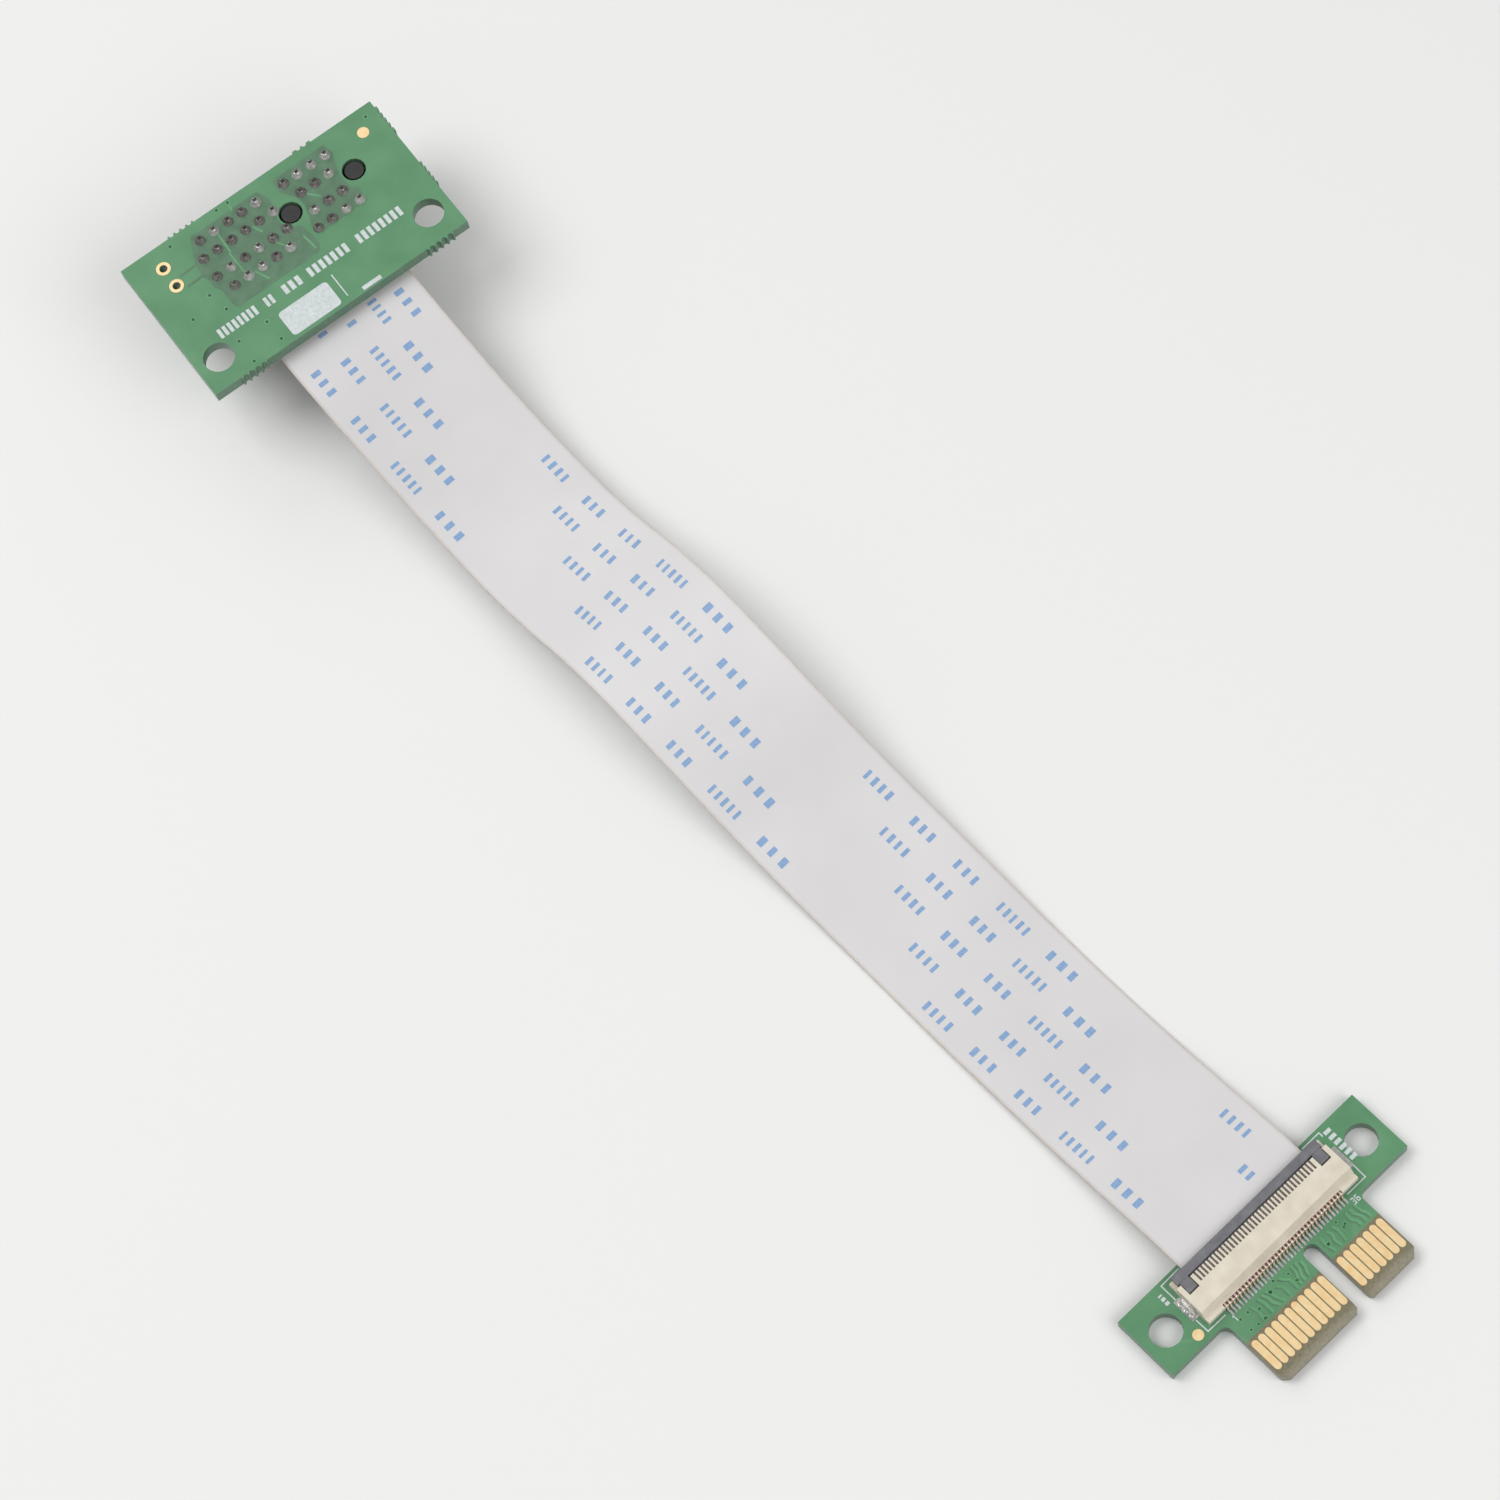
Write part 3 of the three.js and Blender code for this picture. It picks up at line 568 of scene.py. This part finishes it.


# Solder mask over copper and bare areas, legend and plated holes on the socket board, in mm; each hole's
# shaded inside is painted as a dark disc.
# Each row of strokes is given by its start, end and count.
socketPrint = {
    "shade": [
        [(-11.2, 4.9), (-1.6, 5), (-1.3, 4.2), (-0.9, 3.2), (-1.2, 2.0), (-1.65, 1.0), (-1.75, 0),
         (-1.6, -1), (-1.1, -1.75), (0.1, -2.2), (0.5, -4.6), (0.3, -5.9), (-0.2, -6.5), (-11.8, -6.5),
         (-12.1, -5.7), (-12.1, -3.3), (-12.6, -2.5), (-12.6, -1.2), (-12.9, -0.5), (-12.7, 1.4),
         (-12.1, 2.9), (-11.5, 4.2)],
        [(0.6, 5), (8.1, 5.1), (8.5, 3.6), (7.7, 1.6), (7.4, 0), (7.6, -1.4), (8.3, -2.4), (8, -4.5),
         (1.5, -4.6), (0.9, -3.5), (1.5, -1.6), (1.9, 0), (1.7, 1.2), (0.5, 3.1)]],
    "gaps": [[(-12.7, 1.4), (-15.0, 1.3)], [(-12.8, -0.3), (-15.0, -0.4)]],
    "traces": [
        [(-8.3, 4.3), (-8.5, 0.2)], [(-8.7, 0.2), (-8.6, -4.6)], [(-5.2, 5.6), (-5.3, 4.7)],
        [(-4.6, 1.4), (-4, 0)], [(2.4, 1.6), (4.1, -0.5)], [(-7.6, -3.8), (-6.8, -5.7)],
        [(-3.7, -1.9), (-2.2, -4.3)], [(-0.5, -3.5), (-0.2, -5.9)]],
    "vias": [(-13.74, 5.44), (-6.75, 5.96), (-5.15, 5.97), (14.24, 4.99), (-13.6, -3), (-16.9, -4.42),
             (-13.03, -5.79), (-10.2, -10.25), (-14.2, -10.27), (-10.07, -13.17), (-14.24, -13.59)],
    "rows": [(-15.6, -10, 8), (-9, -7.6, 2), (-6.4, -3.6, 3), (-2.8, 3.1, 7), (4.2, 10.8, 8)],
    "rowLow": -8.75, "rowHigh": -7.4, "rowFill": 0.62, "gapWidth": 0.3, "traceWidth": 0.22,
    "viaRing": 0.34, "viaHole": 0.2, "field": (-8.7, -1.8, -13.9, -10.2, 0.5),
    "rule": [(-0.8, -9.95), (-0.8, -13.5)], "ruleWidth": 0.15, "dash": (1.1, 3.7, -14.15, -13.6)}

# How far each layer of print stands over the mask in mm, and how far all are sunk into it
layer = {"sunk": 0.01, "shade": 0.01, "gap": 0.012, "ring": 0.014, "trace": 0.016, "hole": 0.02,
         "silk": 0.02}


def roundedBar(x0, x1, y0, y1, radius, steps=4):
    outline = []
    for cx, cy, turn in ((x1 - radius, y0 + radius, -90), (x1 - radius, y1 - radius, 0),
                         (x0 + radius, y1 - radius, 90), (x0 + radius, y0 + radius, 180)):
        for k in range(steps + 1):
            angle = math.radians(turn + 90 * k / steps)
            outline.append((cx + radius * math.cos(angle), cy + radius * math.sin(angle)))
    return outline


def socketBoardPrint():
    bm = bmesh.new()
    low = socketTop - layer["sunk"]
    high = {name: socketTop + rise for name, rise in layer.items()}
    for outline in socketPrint["shade"]:
        addPrism(bm, outline[::-1], low, high["shade"], 0)
    for points in socketPrint["gaps"]:
        addLine(bm, points, socketPrint["gapWidth"], low, high["gap"], 0)
    for points in socketPrint["traces"]:
        addLine(bm, points, socketPrint["traceWidth"], low, high["trace"], 1)
    for x, y in socketPrint["vias"]:
        addPrism(bm, disc(x, y, socketPrint["viaRing"]), low, high["ring"], 1)
        # The dark disc is painted shade for the via's hole
        addPrism(bm, disc(x, y, socketPrint["viaHole"]), low, high["hole"], 2)
    y0, y1 = socketPrint["rowLow"], socketPrint["rowHigh"]
    for start, end, marks in socketPrint["rows"]:
        pitch = (end - start) / marks
        for k in range(marks):
            x = start + k * pitch
            addPrism(bm, bar(x, x + pitch * socketPrint["rowFill"], y0, y1), low, high["silk"], 3)
    addPrism(bm, roundedBar(*socketPrint["field"]), low, high["silk"], 3)
    addLine(bm, socketPrint["rule"], socketPrint["ruleWidth"], low, high["silk"], 3)
    addPrism(bm, bar(*socketPrint["dash"]), low, high["silk"], 3)
    addPiece("socketBoardPrint", bm, Matrix.Identity(4), ["shade", "trace", "via", "silk"])


socketBoardPrint()
print("socket board print made")


# Traces, holes and legend on the edge board, in its own frame in mm; each hole's shaded inside is painted
# as a dark disc
edgePrint = {
    "gaps": [
        [(-8.1, 0.3), (-7.9, -0.5), (-7.9, -1.9)], [(-7.5, 0.3), (-7.2, -0.4), (-7.2, -1.1), (-6.8, -1.9)],
        [(-6.9, 0.3), (-6.6, -0.4), (-6.5, -1.0), (-6.1, -1.9)], [(-5.7, -0.2), (-5.2, -0.6), (-5.2, -1.9)],
        [(-4.9, 0.3), (-4.5, -0.3), (-4.1, -0.6), (-4.1, -1.9)],
        [(-3.0, 0.3), (-3.0, -0.4), (-3.5, -1.5), (-3.5, -1.9)],
        [(-2.4, 0.3), (-2.5, -0.5), (-2.9, -1.2), (-2.9, -1.9)],
        [(-1.8, 0.0), (-1.9, -0.8), (-2.2, -1.3), (-2.2, -1.9)],
        [(1.5, 0.3), (1.4, -0.6), (1.7, -1.9)], [(2.5, 0.3), (2.7, -0.3), (2.4, -1.1), (2.6, -1.9)],
        [(3.3, 0.3), (3.5, -0.5), (3.3, -1.9)], [(5.4, 0.3), (5.3, -0.6), (5.7, -1.3), (5.7, -1.9)],
        [(6.0, 0.3), (6.0, -0.4), (6.4, -1.1), (6.4, -1.9)],
        [(6.7, 0.3), (6.8, -0.7), (7.1, -1.4), (7.1, -1.9)],
        [(-9.2, 0.2), (-9.0, -0.8), (-9.2, -1.9)]],
    "vias": [(-10.7, 0), (-9.6, 0), (-8.4, -0.6), (-10.7, -1.6), (-9.7, -1.7), (-8.6, -1.8), (-3.5, -0.1),
             (-3.4, -1.2), (-6.2, -0.1), (2, -0.8), (4.2, 0.3), (4.4, -0.7), (4.8, -0.5), (-5.2, 0.5)],
    "brackets": [
        [(-11.33, 8.67), (-14.07, 8.6), (-14.07, 6.3)], [(-14.1, 3.3), (-14.07, 1.54), (-11.46, 1.5)],
        [(7.5, 8.6), (10.15, 8.6), (10.15, 8.0)], [(10.15, 3.4), (10.1, 1.6), (7.3, 1.6)]],
    "digits": [
        [(-10.95, 0.1), (-10.95, 0.9)], [(-11.12, 0.72), (-10.95, 0.9)],
        [(7.05, 0.95), (7.4, 0.95), (7.4, 0.6), (7.15, 0.6)], [(7.4, 0.6), (7.4, 0.25), (7.05, 0.25)],
        [(7.98, 0.95), (7.68, 0.95), (7.68, 0.25), (7.98, 0.25), (7.98, 0.6), (7.68, 0.6)]],
    "marks": [(-15.2, -14.7, 6.6, 7.0), (-15.2, -14.7, 7.2, 7.6), (-15.2, -14.7, 7.8, 8.0)],
    "row": (10.45, 11.35, 3.9, 8.6, 6), "rowFill": 0.6, "gapWidth": 0.16, "traceWidth": 0.26,
    "traceShift": 0.3, "viaRing": 0.26, "viaHole": 0.14, "bracketWidth": 0.15, "digitWidth": 0.11}


def edgeBoardPrint():
    bm = bmesh.new()
    low = edgeTop - layer["sunk"]
    high = {name: edgeTop + rise for name, rise in layer.items()}
    for points in edgePrint["gaps"]:
        addLine(bm, points, edgePrint["gapWidth"], low, high["shade"], 0)
        beside = [(x + edgePrint["traceShift"], y) for x, y in points]
        addLine(bm, beside, edgePrint["traceWidth"], low, high["trace"], 1)
    for x, y in edgePrint["vias"]:
        addPrism(bm, disc(x, y, edgePrint["viaRing"]), low, high["trace"], 1)
        # The dark disc is painted shade for the via's hole
        addPrism(bm, disc(x, y, edgePrint["viaHole"]), low, high["hole"], 2)
    for points in edgePrint["brackets"]:
        addLine(bm, points, edgePrint["bracketWidth"], low, high["silk"], 3)
    for points in edgePrint["digits"]:
        addLine(bm, points, edgePrint["digitWidth"], low, high["silk"], 3)
    for mark in edgePrint["marks"]:
        addPrism(bm, bar(*mark), low, high["silk"], 3)
    x0, x1, y0, y1, marks = edgePrint["row"]
    pitch = (y1 - y0) / marks
    for k in range(marks):
        stroke = bar(x0, x1, y0 + k * pitch, y0 + (k + edgePrint["rowFill"]) * pitch)
        addPrism(bm, stroke, low, high["silk"], 3)
    addPiece("edgeBoardPrint", bm, edgePlace, ["shade", "trace", "via", "silk"])


edgeBoardPrint()
print("edge board print made")


# Solder on the ribbon connectors' tails and hold-downs, the knees of their contacts, and a dark strip of
# painted shade under the knees
tailSetup = {"count": 36, "pitch": 0.5, "width": 0.2,
             "knee": [(0.62, 0.1), (0.66, 0.5), (0.84, 1.0), (0.94, 1.07), (1.3, 1.07), (1.3, 0.98),
                      (0.96, 0.96), (0.88, 0.9), (0.78, 0.4), (0.78, 0.1)],
             "solder": [(-0.16, 0), (0.04, 0.2), (0.3, 0.24), (0.5, 0.19), (0.62, 0)],
             "solderWide": (1.2, 1.45), "solderRise": (0.9, 1.15), "recessShade": (0.92, 1.3, 0.99, 1.01)}
# The solder pad under each hold-down, and the blobs on the left one: y and radius
padSetup = {"inner": 11.42, "outer": 12.35, "from": 2.4, "to": 5.4, "low": -0.005, "high": 0.03,
            "blobX": -12.05, "blobs": [(3.0, 0.36), (3.8, 0.42), (4.7, 0.38)],
            "blob": [(1, 0), (0.9, 0.12), (0.6, 0.24), (0.25, 0.28)]}


def addAlong(bm, profile, x0, x1, finish):
    # A side profile of (y, z) points drawn along x
    near = [bm.verts.new((x0, y, z)) for y, z in profile]
    far = [bm.verts.new((x1, y, z)) for y, z in profile]
    faces = [bm.faces.new(near), bm.faces.new(far[::-1])]
    for i in range(len(profile)):
        j = (i + 1) % len(profile)
        faces.append(bm.faces.new((near[j], near[i], far[i], far[j])))
    for face in faces:
        face.material_index = finish


def connectorSolder(end):
    bm = bmesh.new()
    rng = random.Random(3)
    for i in range(tailSetup["count"]):
        x = (i - (tailSetup["count"] - 1) / 2) * tailSetup["pitch"]
        half = tailSetup["width"] / 2
        addAlong(bm, tailSetup["knee"], x - half, x + half, 0)
        wide = half * rng.uniform(*tailSetup["solderWide"])
        rise = rng.uniform(*tailSetup["solderRise"])
        addAlong(bm, [(y, z * rise) for y, z in tailSetup["solder"]], x - wide, x + wide, 1)
    span = tailSetup["count"] * tailSetup["pitch"] / 2
    # A thin dark sheet just under the knees' tops, across all the contacts: painted shade between the knees
    y0, y1, low, high = tailSetup["recessShade"]
    addPrism(bm, bar(-span, span, y0, y1), low, high, 2)
    for x0, x1 in ((-padSetup["outer"], -padSetup["inner"]), (padSetup["inner"], padSetup["outer"])):
        addPrism(bm, bar(x0, x1, padSetup["from"], padSetup["to"]), padSetup["low"], padSetup["high"], 1)
    for y, radius in padSetup["blobs"]:
        outline = [(radius * share, height) for share, height in padSetup["blob"]]
        addDome(bm, padSetup["blobX"], y, 0, outline, 1, 16)
    addPiece(f"{end}ConnectorSolder", bm, connectorPlace[end], ["knee", "solder", "recessShade"])


for end in ("socket", "edge"):
    connectorSolder(end)
print("solder made")


# Floor, light and world; each lamp by its name, place, size and watts
stageSetup = {"floor": (226, 226, 225), "size": 3.0, "drop": 0.00003, "world": 0.42,
              "aim": (0.005, -0.085, 0), "lamps": [
                  ("keyLamp", (-0.35, 0.25, 0.75), 0.6, 4.0), ("fillLamp", (0.25, -0.7, 0.6), 0.7, 3.6),
                  ("backLamp", (0.1, 0.7, 0.5), 0.5, 1.0)]}


def addStage():
    bm = bmesh.new()
    half = stageSetup["size"] / 2
    bm.faces.new([bm.verts.new((x, y, -stageSetup["drop"])) for x, y in bar(-half, half, -half, half)])
    mesh = bpy.data.meshes.new("studioFloor")
    bm.to_mesh(mesh)
    bm.free()
    pale = stageSetup["floor"]
    mesh.materials.append(mottled("studioFloor", pale, pale, 0.7, scale=20.0, bump=0.0))
    floor = bpy.data.objects.new("studioFloor", mesh)
    bpy.context.scene.collection.objects.link(floor)
    for name, place, size, watts in stageSetup["lamps"]:
        lamp = bpy.data.objects.new(name, bpy.data.lights.new(name, "AREA"))
        lamp.data.shape = "DISK"
        lamp.data.size = size
        lamp.data.energy = watts
        lamp.matrix_world = lookAt(place, stageSetup["aim"])
        bpy.context.scene.collection.objects.link(lamp)
    world = bpy.data.worlds.new("studioWorld")
    world.use_nodes = True
    world.node_tree.nodes["Background"].inputs["Color"].default_value = (1, 1, 1, 1)
    world.node_tree.nodes["Background"].inputs["Strength"].default_value = stageSetup["world"]
    bpy.context.scene.world = world
    bpy.context.scene.view_settings.view_transform = "Standard"


addStage()
print("stage set")


def corners(bounds):
    return [[round(float(v), 6) for v in corner] for corner in bounds]
